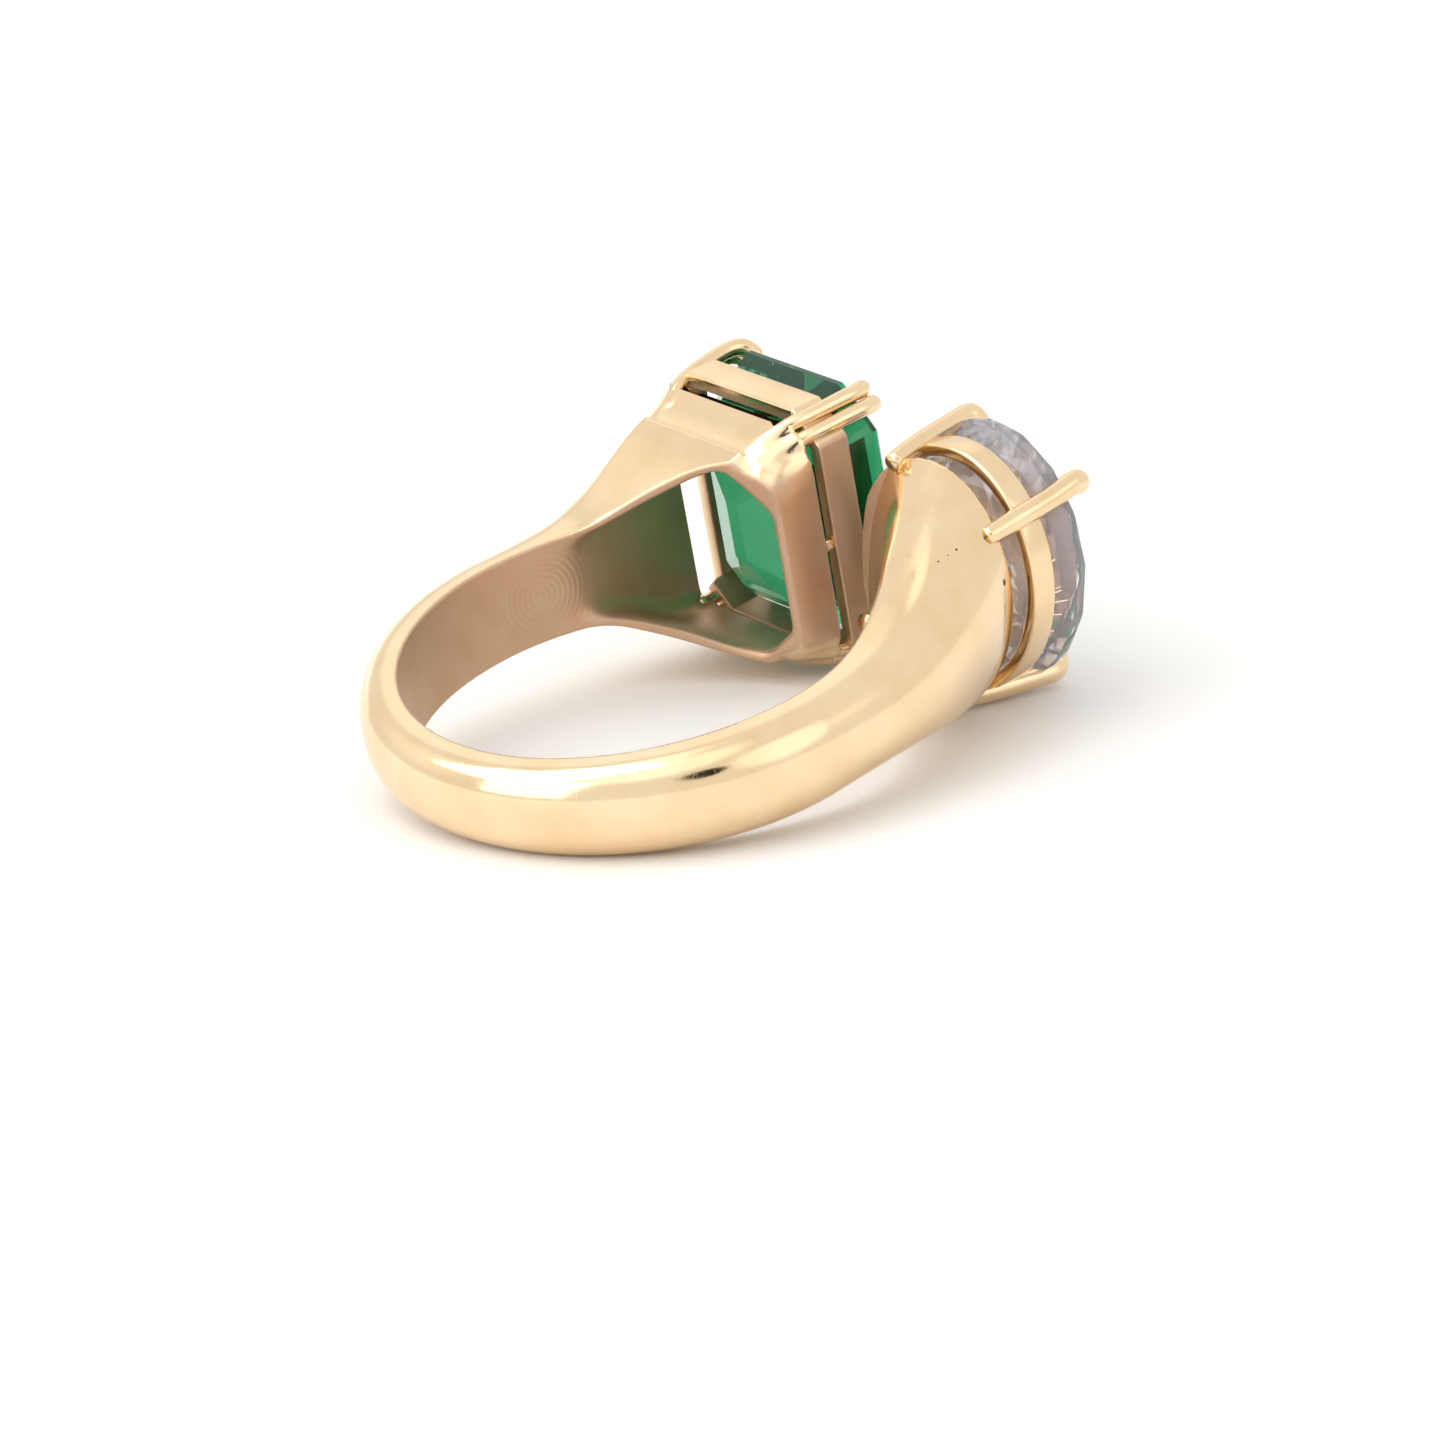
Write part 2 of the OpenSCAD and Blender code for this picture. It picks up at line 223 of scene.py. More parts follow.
def arm_field(p):
    """The band and the two arms, each in its own part of space."""
    x, y, z = p[:, 0], p[:, 1], p[:, 2]
    out = np.empty(len(p))
    parts = [(x <= 0, band_gap), ((x > 0) & (y > 0), green_arm_gap), ((x > 0) & (y <= 0), white_arm_gap)]
    for where, gap in parts:
        if where.any():
            out[where] = gap(x[where], y[where], z[where])
    return out


def cup_local(p):
    """Points in the cup's frame: x along the long axis, y across, z out of the cup."""
    q = p - CUP
    a = -(math.pi / 2 + CUP_LEAN)
    x, z = q[:, 0] * math.cos(a) + q[:, 2] * math.sin(a), -q[:, 0] * math.sin(a) + q[:, 2] * math.cos(a)
    y = q[:, 1]
    c, s = math.cos(-CUP_TURN), math.sin(-CUP_TURN)
    return np.stack([x * c - y * s, x * s + y * c, z], 1)


def box_half(x):
    return SHOULDER_HALF + END_SLOPE * (x - SHOULDER_X)


def box_field(p):
    """The box up to the collet's top; the factors turn gaps along an axis into distances."""
    x, y, z = p[:, 0], np.abs(p[:, 1] - BOX_Y), np.abs(p[:, 2])
    half = box_half(x)
    side, face = y - BOX_W / 2, (z - half) * 0.926
    cut = (y + z - (BOX_W / 2 + half - CORNER)) * 0.68
    f = smax(smax(side, face, 0.12), cut, 0.45)
    f = smax(f, x - COLLET_X1, 0.05)
    return smax(f, 7.6 - x, 1.3)


# x, near side, far side, half width of the pocket scooped out of the shoulder and the box
POCKET = Spline([
    [0.0, 4.0, 7.20, 1.45], [2.6, 4.0, 7.72, 1.50], [4.25, 4.0, 7.99, 1.70], [5.5, 3.2, 8.20, 2.27],
    [6.6, 2.6, 8.38, 2.95], [7.4, 2.2, 8.52, 3.48], [8.2, 2.15, 8.65, 3.70], [10.1, 2.1, 9.10, 4.35]])


def pocket_field(p):
    """The pocket, with its corners on the near side cut off, the upper one more than the lower."""
    x, y, z = p[:, 0], p[:, 1], np.abs(p[:, 2])
    lo, hi, h = POCKET(x, 0), POCKET(x, 1), POCKET(x, 2)
    f = smax(smax(y - hi, lo - y, 0.1), z - h, 0.8)
    leg = np.where(p[:, 2] > 0, 0.46, 0.30) * h
    f = smax(f, (z - h - y + lo + leg) * 0.7071, 0.25)
    return smax(f, -x, 0.3)


def window_field(p):
    """A shallow notch in the top of the collet's far wall."""
    x, y, z = p[:, 0], p[:, 1], np.abs(p[:, 2])
    return smax(smax(COLLET_X1 - 0.36 - x, 7.6 - y, 0.1), z - 4.0, 0.3)


def void_field(p):
    """The finger hole, which runs smoothly into the pocket behind the green stone."""
    return smin(np.hypot(p[:, 0], p[:, 1]) - FINGER_R, pocket_field(p), 0.5)


def green_claw_path(i):
    """A wire's middle line: it leaves the collet's corner, leans outwards and folds over the stone."""
    u, v = green_claw_uv(i)
    su, sv = math.copysign(1, u), math.copysign(1, v)
    rows = [(9.1, 0.55, 0.80), (9.8, 0.20, 0.42), (10.8, 0.06, 0.16), (11.9, 0, 0.03), (12.7, 0, 0),
            (13.2, 0.10, 0.18), (13.4, 0.34, 0.56)]
    return [np.array(at_green(u - su * du, v - sv * dv, x)) for x, du, dv in rows]


def capsule(p, a, b, r):
    """A rod of radius r with round ends, from a to b."""
    t = np.clip((p - a) @ (b - a) / ((b - a) @ (b - a)), 0, 1)
    return np.linalg.norm(p - a - t[:, None] * (b - a), axis=1) - r


def solder_field(p):
    """The claws' feet run into the box's cut corners and are flooded with solder."""
    f = np.full(len(p), 9.0)
    for i in range(1, 9):
        path = green_claw_path(i)
        f = np.minimum(f, capsule(p, path[0], path[1], 0.27))
    return f


def cup_hollow(q):
    """The bowl under the white stone, and the light hole that leans away from the box from its floor."""
    r = np.hypot(q[:, 0] / (CUP_L / 2), (q[:, 1] - 0.2 * q[:, 2]) / (CUP_W / 2))
    bowl = (r - (BOWL_REACH + BOWL_TAPER * q[:, 2])) * CUP_W / 2 * 0.85
    hole = np.hypot(q[:, 0], (q[:, 1] - HOLE_LEAN * q[:, 2]) * 0.89) - HOLE_R
    return smin(smax(bowl, -BOWL_DEPTH - q[:, 2], 0.3), smax(hole, -8 - q[:, 2], 0.1), 0.2)


def casting_field(p):
    """The whole casting: what is solid is joined first, then the hollows are cut out."""
    # the arm's top and bottom lie in the box's own planes, so the blend is tight there, wider between
    blend_width = 0.05 + 0.5 * ease((box_half(p[:, 0]) - np.abs(p[:, 2])) / 1.2)
    f = smin(arm_field(p), box_field(p), blend_width)
    near_claws = p[:, 0] > 7.0
    f[near_claws] = smin(f[near_claws], solder_field(p[near_claws]), 0.35)
    # the cup ends in its rim's plane
    q = cup_local(p)
    on_cup = p[:, 1] < 0.9
    f = smax(f, np.where(on_cup, q[:, 2], -1.0), 0.08)
    f = smax(f, -void_field(p), 0.09)
    f = smax(f, -window_field(p), 0.10)
    f = smax(f, np.where(on_cup, -cup_hollow(q), -5.0), 0.12)
    # a bead of solder bridges the slit on the near side
    bead = np.linalg.norm((p - [10.0, 1.75, 0.1]) / [1.5, 1.0, 1.0], axis=1) - 0.26
    return smin(f, bead, 0.12)


def crossing_points(val, where):
    """For each cell, the mean of the points where the field crosses zero on its edges, in cells."""
    total = np.zeros((len(where), 3))
    count = np.zeros(len(where))
    for axis in range(3):
        u, w = [a for a in range(3) if a != axis]
        for du, dw in ((0, 0), (0, 1), (1, 0), (1, 1)):
            a = where.copy()
            a[:, u] += du
            a[:, w] += dw
            b = a.copy()
            b[:, axis] += 1
            va, vb = val[tuple(a.T)], val[tuple(b.T)]
            cross = (va < 0) != (vb < 0)
            point = a.astype(float)
            point[:, axis] += np.where(cross, va / np.where(cross, va - vb, 1), 0)
            total += point * cross[:, None]
            count += cross
    return total / count[:, None]


def crossing_quads(inside, idx):
    """A quad round each grid edge that crosses the surface; idx numbers the cells' points."""
    n = inside.shape
    quads = []
    for axis in range(3):
        u, w = (axis + 1) % 3, (axis + 2) % 3
        low, high = [slice(None)] * 3, [slice(None)] * 3
        low[axis], high[axis] = slice(0, -1), slice(1, None)
        e = np.argwhere(inside[tuple(low)] != inside[tuple(high)])
        e = e[(e[:, u] > 0) & (e[:, w] > 0) & (e[:, u] < n[u] - 1) & (e[:, w] < n[w] - 1)]
        corners = []
        for du, dw in ((-1, -1), (0, -1), (0, 0), (-1, 0)):
            k = e.copy()
            k[:, u] += du
            k[:, w] += dw
            corners.append(idx[tuple(k.T)])
        quad = np.stack(corners, 1)
        flip = ~inside[tuple(e.T)]
        quad[flip] = quad[flip][:, ::-1]
        quads.append(quad)
    quads = np.concatenate(quads)
    return quads[(quads >= 0).all(1)]


def settle(field, verts, step):
    """Moves points along the field's slope on to its zero surface, in three short steps."""
    for _ in range(3):
        f0, g = field(verts), np.empty_like(verts)
        for a in range(3):
            d = np.zeros(3)
            d[a] = 0.01
            g[:, a] = (field(verts + d) - field(verts - d)) / 0.02
        move = -g * (f0 / np.maximum((g * g).sum(1), 0.05))[:, None]
        size = np.linalg.norm(move, axis=1)
        verts = verts + move * np.minimum(1, 0.45 * step / np.maximum(size, 1e-9))[:, None]
    return verts


def surface(field, lo, hi, step):
    """The zero surface of a field as points and quads (surface nets)."""
    n = np.ceil((np.array(hi) - lo) / step).astype(int) + 1
    ax = [lo[i] + step * np.arange(n[i]) for i in range(3)]
    val = np.empty(n, np.float32)
    yy, zz = np.meshgrid(ax[1], ax[2], indexing="ij")
    for i in range(n[0]):
        p = np.stack([np.full(yy.size, ax[0][i]), yy.ravel(), zz.ravel()], 1)
        val[i] = field(p).reshape(yy.shape)
    inside = val < 0
    cells = np.zeros(n - 1, bool)
    for dx, dy, dz in np.ndindex(2, 2, 2):
        corner = inside[dx:n[0] - 1 + dx, dy:n[1] - 1 + dy, dz:n[2] - 1 + dz]
        cells |= corner != inside[:-1, :-1, :-1]
    where = np.argwhere(cells)
    idx = np.full(n - 1, -1, np.int64)
    idx[cells] = np.arange(len(where))
    verts = np.array(lo) + step * crossing_points(val, where)
    return settle(field, verts, step), crossing_quads(inside, idx)


# ---------- swept and turned pieces ----------

def sweep(name, rings, closed=False):
    """Quads between rings of points, which close on themselves; an open sweep gets two end faces."""
    k, n = len(rings), len(rings[0])
    verts = [p for r in rings for p in r]
    faces = []
    for i in range(k if closed else k - 1):
        for j in range(n):
            a, b = i * n, ((i + 1) % k) * n
            faces.append((a + j, a + (j + 1) % n, b + (j + 1) % n, b + j))
    if not closed:
        faces.append(tuple(range(n))[::-1])
        faces.append(tuple((k - 1) * n + j for j in range(n)))
    return new_mesh(name, lay(verts), faces)


def tube(name, path, radii):
    """A round wire through path (mm), smoothly bent, with a rounded far end."""
    sides, steps = 28, 8
    sp = Spline([[i, *p, r] for i, (p, r) in enumerate(zip(path, radii))])
    ts = np.linspace(0, len(path) - 1, (len(path) - 1) * steps + 1)
    pts = np.stack([sp(ts, c) for c in range(3)], 1)
    rad = sp(ts, 3)
    tan = np.gradient(pts, axis=0)
    tan /= np.linalg.norm(tan, axis=1)[:, None]
    ref = np.cross(tan[0], [0.3, 0.5, 0.81])
    rings = []
    ang = np.linspace(0, 2 * np.pi, sides, endpoint=False)
    for p, t, r in zip(pts, tan, rad):
        ref = ref - t * (ref @ t)
        ref /= np.linalg.norm(ref)
        other = np.cross(t, ref)
        rings.append(p + r * (np.cos(ang)[:, None] * ref + np.sin(ang)[:, None] * other))
    t, r, p = tan[-1], rad[-1], pts[-1]
    other = np.cross(t, ref)
    for a in np.radians([18, 36, 54, 70, 82]):
        rings.append(p + t * r * math.sin(a) * 0.9
                     + r * math.cos(a) * (np.cos(ang)[:, None] * ref + np.sin(ang)[:, None] * other))
    return sweep(name, rings)


def at_green(u, v, w):
    """Box setting: u along the finger, v across it, w outwards from the finger."""
    return [w, BOX_Y + v, -u]


def green_claw_uv(i):
    """Where wire i stands: two wires side by side at each cut corner."""
    corner = (i - 1) // 2
    sx, sy = (1 if corner < 2 else -1), (1 if corner % 2 == 0 else -1)
    mid = CORNER / 2 - 0.12 * math.sqrt(0.5)
    off = (i % 2 - 0.5) * CLAW_GAP * math.sqrt(0.5)
    return sx * (BOX_L / 2 - mid + off), sy * (BOX_W / 2 - mid - off)


def cup_world(q):
    q = np.asarray(q, float)
    c, s = math.cos(CUP_TURN), math.sin(CUP_TURN)
    x, y, z = q[..., 0] * c - q[..., 1] * s, q[..., 0] * s + q[..., 1] * c, q[..., 2]
    a = math.pi / 2 + CUP_LEAN
    return np.stack([x * math.cos(a) + z * math.sin(a), y, -x * math.sin(a) + z * math.cos(a)], -1) + CUP


def cut_outline(l, w, c):
    """Corners of a rectangle l by w with corners cut by c."""
    a, b = l / 2, w / 2
    return [(a, b - c), (a - c, b), (c - a, b), (-a, b - c),
            (-a, c - b), (c - a, -b), (a - c, -b), (a, c - b)]


def rounded_cut_outline(l, w, c, r):
    """The same outline, with its own eight corners rounded over a length r, as many close points."""
    pts = cut_outline(l, w, c)
    out = []
    for i in range(8):
        p, q, s = np.array(pts[i - 1]), np.array(pts[i]), np.array(pts[(i + 1) % 8])
        d0, d1 = (p - q) / np.linalg.norm(p - q), (s - q) / np.linalg.norm(s - q)
        a0, a1 = q + d0 * r, q + d1 * r
        for t in np.linspace(0, 1, 6):
            out.append((1 - t) ** 2 * a0 + 2 * t * (1 - t) * q + t * t * a1)
        end = s - d1 * r
        for t in np.linspace(0, 1, 40)[1:-1]:
            out.append(a1 + (end - a1) * t)
    return np.array(out)


def frame_piece(name, outline, z0, z1, wall, place, bevel=0.09, lift=None):
    """A rounded rectangle swept round an outline; lift says how far its lower edge is raised there."""
    tan = np.roll(outline, -1, 0) - np.roll(outline, 1, 0)
    tan /= np.linalg.norm(tan, axis=1)[:, None]
    inward = np.stack([-tan[:, 1], tan[:, 0]], 1)
    b = bevel
    prof = []
    corners = [(b, z0 + b, 180), (wall - b, z0 + b, 270), (wall - b, z1 - b, 0), (b, z1 - b, 90)]
    for cx, cz, a0 in corners:
        for t in np.linspace(0, 90, 5):
            a = math.radians(a0 + t)
            prof.append((cx + b * math.cos(a), cz + b * math.sin(a)))
    rings = []
    for i in range(len(outline)):
        up = lift(*outline[i]) if lift else 0
        ring = [(*(outline[i] + inward[i] * d), z + up * (z1 - z) / (z1 - z0)) for d, z in prof]
        rings.append([place(*p) for p in ring])
    return sweep(name, rings, closed=True)


# ---------- stones ----------

# the emerald cut's steps: height from the girdle, and how far the outline is drawn in
EMERALD_STEPS = [[-3.80, 3.70], [-2.95, 1.95], [-2.00, 0.92], [-1.0, 0.40], [-0.10, 0], [0.10, 0],
                 [0.42, 0.34], [0.74, 0.78], [1.02, 1.30], [1.15, 1.62]]


def emerald(name):
    """Flat facets between the outlines of the steps, with a flat top and bottom."""
    verts, faces = [], []
    for z, inset in EMERALD_STEPS:
        cut = GREEN_CUT * (1 - 2 * inset / GREEN_W)
        outline = cut_outline(GREEN_L - 2 * inset, GREEN_W - 2 * inset, cut)
        verts += [at_green(u, v, GREEN_GIRDLE + z) for u, v in outline]
    k = len(EMERALD_STEPS)
    for i in range(k - 1):
        for j in range(8):
            faces.append((i * 8 + j, i * 8 + (j + 1) % 8, (i + 1) * 8 + (j + 1) % 8, (i + 1) * 8 + j))
    faces.append(tuple(range(8))[::-1])
    faces.append(tuple((k - 1) * 8 + j for j in range(8)))
    return new_mesh(name, lay(verts), faces, smooth=False)


def cut_by(bm, normal, point):
    """Cuts away what lies past a plane, and closes the cut with a face."""
    geom = bm.verts[:] + bm.edges[:] + bm.faces[:]
    r = bmesh.ops.bisect_plane(bm, geom=geom, plane_co=point, plane_no=normal, clear_outer=True, dist=1e-6)
    edges = [e for e in r["geom_cut"] if isinstance(e, bmesh.types.BMEdge)]
    if len(edges) >= 3:
        bmesh.ops.contextual_create(bm, geom=edges)


def oval_brilliant(name):
    """A round brilliant of radius 1 cut facet by facet out of a short rod, then stretched to an oval."""
    bm = bmesh.new()
    bmesh.ops.create_cone(bm, cap_ends=True, segments=32, radius1=1.0, radius2=1.0, depth=4.0)
    cut_by(bm, Vector((0, 0, 1)), Vector((0, 0, 0.30)))

    def facet(az, tilt, up, reach, level):
        """Cuts by a plane tilted from the girdle plane, through a point at radius reach."""
        a, t = math.radians(az), math.radians(tilt)
        n = Vector((math.sin(t) * math.cos(a), math.sin(t) * math.sin(a), up * math.cos(t)))
        cut_by(bm, n, Vector((reach * math.cos(a), reach * math.sin(a), level)))

    girdle = 0.022
    for i in range(8):
        facet(45 * i, 36, 1, 1.0, girdle)
        facet(45 * i, 42, -1, 1.0, -girdle)
    for i in range(16):
        facet(11.25 + 22.5 * i, 42, 1, 0.985, girdle)
        facet(11.25 + 22.5 * i, 44.5, -1, 0.985, -girdle)
    for i in range(8):
        facet(22.5 + 45 * i, 21, 1, 0.60, 0.285)
    cut_by(bm, Vector((0, 0, -1)), Vector((0, 0, -0.86)))
    bmesh.ops.dissolve_degenerate(bm, dist=1e-5, edges=bm.edges[:])
    bmesh.ops.recalc_face_normals(bm, faces=bm.faces[:])
    me = bpy.data.meshes.new(name)
    bm.to_mesh(me)
    bm.free()
    co = np.empty(len(me.vertices) * 3)
    me.vertices.foreach_get("co", co)
    co = co.reshape(-1, 3) * [WHITE_L / 2, WHITE_W / 2, (WHITE_L + WHITE_W) / 4]
    co[:, 2] += WHITE_GIRDLE
    me.vertices.foreach_set("co", lay(cup_world(co)).ravel())
    me.update()
    ob = bpy.data.objects.new(name, me)
    bpy.context.collection.objects.link(ob)
    return ob


# ---------- materials ----------

def node_tree(name):
    m = bpy.data.materials.new(name)
    m.use_nodes = True
    nt = m.node_tree
    nt.nodes.clear()
    out = nt.nodes.new("ShaderNodeOutputMaterial")
    bsdf = nt.nodes.new("ShaderNodeBsdfPrincipled")
    nt.links.new(bsdf.outputs[0], out.inputs[0])
    return m, nt, bsdf


def object_coord(nt):
    return nt.nodes.new("ShaderNodeTexCoord").outputs["Object"]


def noise(nt, coord, scale, detail, rough, stretch=None):
    n = nt.nodes.new("ShaderNodeTexNoise")
    n.inputs["Scale"].default_value = scale
    n.inputs["Detail"].default_value = detail
    n.inputs["Roughness"].default_value = rough
    if stretch:
        mp = nt.nodes.new("ShaderNodeMapping")
        mp.inputs["Scale"].default_value = stretch
        nt.links.new(coord, mp.inputs["Vector"])
        coord = mp.outputs[0]
    nt.links.new(coord, n.inputs["Vector"])
    return n.outputs["Fac"]


def ramp(nt, value, stops):
    """A colour ramp; stops holds positions and colours."""
    r = nt.nodes.new("ShaderNodeValToRGB")
    el = r.color_ramp.elements
    while len(el) < len(stops):
        el.new(0.5)
    for e, (pos, col) in zip(el, stops):
        e.position, e.color = pos, (*col, 1)
    nt.links.new(value, r.inputs[0])
    return r.outputs[0]


def span(nt, value, a0, a1, b0, b1):
    """Maps a0..a1 to b0..b1 and holds the ends."""
    r = nt.nodes.new("ShaderNodeMapRange")
    for s, v in zip(("From Min", "From Max", "To Min", "To Max"), (a0, a1, b0, b1)):
        r.inputs[s].default_value = v
    nt.links.new(value, r.inputs["Value"])
    return r.outputs[0]


def math_node(nt, op, a, b):
    m = nt.nodes.new("ShaderNodeMath")
    m.operation = op
    for i, v in enumerate((a, b)):
        if isinstance(v, (int, float)):
            m.inputs[i].default_value = v
        else:
            nt.links.new(v, m.inputs[i])
    return m.outputs[0]


def blend(nt, kind, fac, a, b):
    """A colour mix of the given kind; fac, a and b are sockets or values."""
    m = nt.nodes.new("ShaderNodeMixRGB")
    m.blend_type = kind
    for socket, v in zip(m.inputs, (fac, a, b)):
        if isinstance(v, bpy.types.NodeSocket):
            nt.links.new(v, socket)
        else:
            socket.default_value = v
    return m.outputs[0]


def distance(nt, coord, place):
    """How far the surface is, in metres, from a place in the object's millimetres."""
    d = nt.nodes.new("ShaderNodeVectorMath")
    d.operation = "DISTANCE"
    d.inputs[1].default_value = [c * MM for c in place]
    nt.links.new(coord, d.inputs[0])
    return d.outputs["Value"]


def add_scaled(nt, base, extra, amount):
    """base + extra * amount"""
    return math_node(nt, "ADD", base, math_node(nt, "MULTIPLY", extra, amount))


def set_bump(nt, bsdf, height, strength, depth):
    bump = nt.nodes.new("ShaderNodeBump")
    bump.inputs["Strength"].default_value = strength
    bump.inputs["Distance"].default_value = depth
    nt.links.new(height, bump.inputs["Height"])
    nt.links.new(bump.outputs[0], bsdf.inputs["Normal"])


def hairlines(nt, coord):
    """Fine scratches that lie every way."""
    total = None
    for k, stretch in enumerate([(1, 14, 1), (12, 1.5, 3), (2, 4, 16)]):
        line = span(nt, noise(nt, coord, 1500 + 400 * k, 2, 0.5, stretch), 0.66, 0.72, 0, 1)
        total = line if total is None else math_node(nt, "ADD", total, line)
    return total


# casting flaws on the white stone's cup, each a pit with painted shade in it: place and radius (mm, in the
# lying ring's frame)
FLAW_PITS_AND_SHADE = [((9.85, -7.75, 2.31), 0.13), ((7.14, -7.54, 3.72), 0.05), ((8.04, -7.47, 3.90), 0.06),
         ((7.60, -7.52, 3.80), 0.04)]
# middle of the rings that a round tool left on the wall of the finger hole, and their spacing
POLISH_RINGS, RING_STEP = (1.9, 8.0, 0.9), 0.22


def cast_marks(nt, bsdf, coord, colour, rough, height):
    """Adds pits, the cup's flaws, and, where the mesh's attribute says so, a rougher and less metallic
    finish with painted shade: there the colour is multiplied to a darker brown for the shade in the
    hollows and between the settings.
    """
    cells = nt.nodes.new("ShaderNodeTexVoronoi")
    cells.inputs["Scale"].default_value = 1100
    nt.links.new(coord, cells.inputs["Vector"])
    gate = span(nt, noise(nt, coord, 330, 2, 0.5), 0.60, 0.66, 0, 1)
    pit = math_node(nt, "MULTIPLY", span(nt, cells.outputs["Distance"], 0.05, 0.16, 1, 0), gate)
    height = add_scaled(nt, height, pit, -0.5)
    for place, radius in FLAW_PITS_AND_SHADE:
        spot = span(nt, distance(nt, coord, place), radius * MM * 0.6, radius * MM, 1, 0)
        # painted shade: the middle of each flaw is coloured near-black brown for the shade inside the pit;
        # the dent itself is the bump
        colour = blend(nt, "MIX", spot, colour, (0.10, 0.065, 0.035, 1))
        height = add_scaled(nt, height, spot, -3.0)
    attribute = nt.nodes.new("ShaderNodeAttribute")
    attribute.attribute_name = "dull_and_shade"
    dull_and_shade = attribute.outputs["Fac"]
    # painted shade: this darker brown stands for the shade in the finger hole, the pocket and between the
    # settings; the extra roughness and lower metallic below are the real unpolished finish
    colour = blend(nt, "MULTIPLY", dull_and_shade, colour, (0.68, 0.60, 0.62, 1))
    rough = add_scaled(nt, rough, dull_and_shade, 0.34)
    nt.links.new(span(nt, dull_and_shade, 0, 1, 1.0, 0.75), bsdf.inputs["Metallic"])
    far = distance(nt, coord, POLISH_RINGS)
    rings = math_node(nt, "SINE", math_node(nt, "MULTIPLY", far, 2 * math.pi / (RING_STEP * MM)), 0)
    rings = math_node(nt, "MULTIPLY", rings, span(nt, far, 1.2 * MM, 2.6 * MM, 0.35, 0))
    return colour, rough, add_scaled(nt, height, rings, dull_and_shade)


def gold(name, polish, casting=False):
    """Hand-polished yellow gold; polish is its mean roughness, and a casting has marks of its own."""
    m, nt, bsdf = node_tree(name)
    bsdf.inputs["Metallic"].default_value = 1.0
    coord = object_coord(nt)
    tone = noise(nt, coord, 420, 3, 0.55)
    fine = noise(nt, coord, 9000, 3, 0.6)
    smear = noise(nt, coord, 700, 5, 0.65)
    wave = noise(nt, coord, 260, 2, 0.4)
    colour = ramp(nt, tone, [(0.30, (0.86, 0.64, 0.38)), (0.55, (0.91, 0.70, 0.45)),
                             (0.80, (0.94, 0.75, 0.50))])
    rough = math_node(nt, "ADD", span(nt, smear, 0.35, 0.7, polish * 0.75, polish * 1.5),
                      span(nt, fine, 0.4, 0.75, 0.0, 0.05))
    height = add_scaled(nt, math_node(nt, "MULTIPLY", wave, 3.0), hairlines(nt, coord), -0.05)
    height = add_scaled(nt, height, fine, 0.06)
    if casting:
        colour, rough, height = cast_marks(nt, bsdf, coord, colour, rough, height)
    nt.links.new(colour, bsdf.inputs["Base Color"])
    nt.links.new(rough, bsdf.inputs["Roughness"])
    set_bump(nt, bsdf, height, 0.35, 0.00003)
    return m


def gem(name, colour, ior, clear):
    """A polished stone; clear is how much of the light goes through it."""
    m, nt, bsdf = node_tree(name)
    bsdf.inputs["Transmission Weight"].default_value = clear
    bsdf.inputs["IOR"].default_value = ior
    coord = object_coord(nt)
    cloud = noise(nt, coord, 300, 4, 0.6)
    darker = tuple(c * 0.86 for c in colour)
    nt.links.new(ramp(nt, cloud, [(0.3, darker), (0.7, colour)]), bsdf.inputs["Base Color"])
    nt.links.new(span(nt, noise(nt, coord, 2500, 3, 0.6), 0.45, 0.8, 0, 0.03), bsdf.inputs["Roughness"])
    set_bump(nt, bsdf, cloud, 0.04, 0.00002)
    return m


GOLD = gold("gold_casting", polish=0.10, casting=True)
GOLD_WIRE = gold("gold_wire", polish=0.14)
GREEN = gem("green_gem", (0.035, 0.36, 0.16), 1.52, clear=0.9)
WHITE = gem("white_gem", (0.93, 0.92, 1.0), 1.52, clear=0.84)


def finish_piece(ob, mat, slot, *nodes):
    """Gives a piece its material, hides the CAD nodes that it replaces, and hangs it on the root body. The
    slot argument is not used.
    """
    ob.data.materials.clear()
    ob.data.materials.append(mat)
    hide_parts(*nodes)
    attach(ob, "root")


def set_dullness_and_shade(ob, values):
    """How rough and unpolished the gold is at each vertex, and how much painted shade darkens it there,
    from 0 to 1.
    """
    mask = ob.data.attributes.new("dull_and_shade", "FLOAT", "POINT")
    mask.data.foreach_set("value", np.asarray(values, np.float32))


# ---------- the pieces ----------

def casting_dullness_and_shade(p):
    """The casting is rougher and unpolished inside the finger hole and the pocket, and on the walls
    between the two settings, where no polishing wheel reaches; the same mask paints shade on these hollows
    and walls."""
    x, y, z = p[:, 0], p[:, 1], p[:, 2]
    inside = ease((0.13 - np.minimum(void_field(p), window_field(p))) / 0.1)
    box_wall = ease((1.95 - y) / 0.3) * ease((x - 7.9) / 0.3)
    box_wall *= ease((3.7 - np.abs(z)) / 0.5) * ease((0.12 - box_field(p)) / 0.08)
    cup_back = ease((y + 1.7) / 0.6) * ease((x - 8.3) / 0.4) * (y < 0.95)
    return np.maximum(inside, np.maximum(box_wall, cup_back))


def make_casting():
    step = 0.085
    lo, hi = np.array([-10.0, -10.4, -4.8]), np.array([11.4, 10.3, 4.8])
    verts, quads = surface(casting_field, lo, hi, step)
    ob = quad_mesh("band_and_settings", lay(verts), quads)
    # the mask roughens the casting and paints shade in its hollows and on the walls between the settings
    set_dullness_and_shade(ob, casting_dullness_and_shade(verts))
    finish_piece(ob, GOLD, "gold", "shank", "green_collet")


def rail_lift(u, v):
    """How far the rail's lower edge is raised: on the far side, between the wires."""
    return 0.5 * float(ease((v - 3.9) / 0.2) * ease((4.1 - abs(u)) / 0.2))


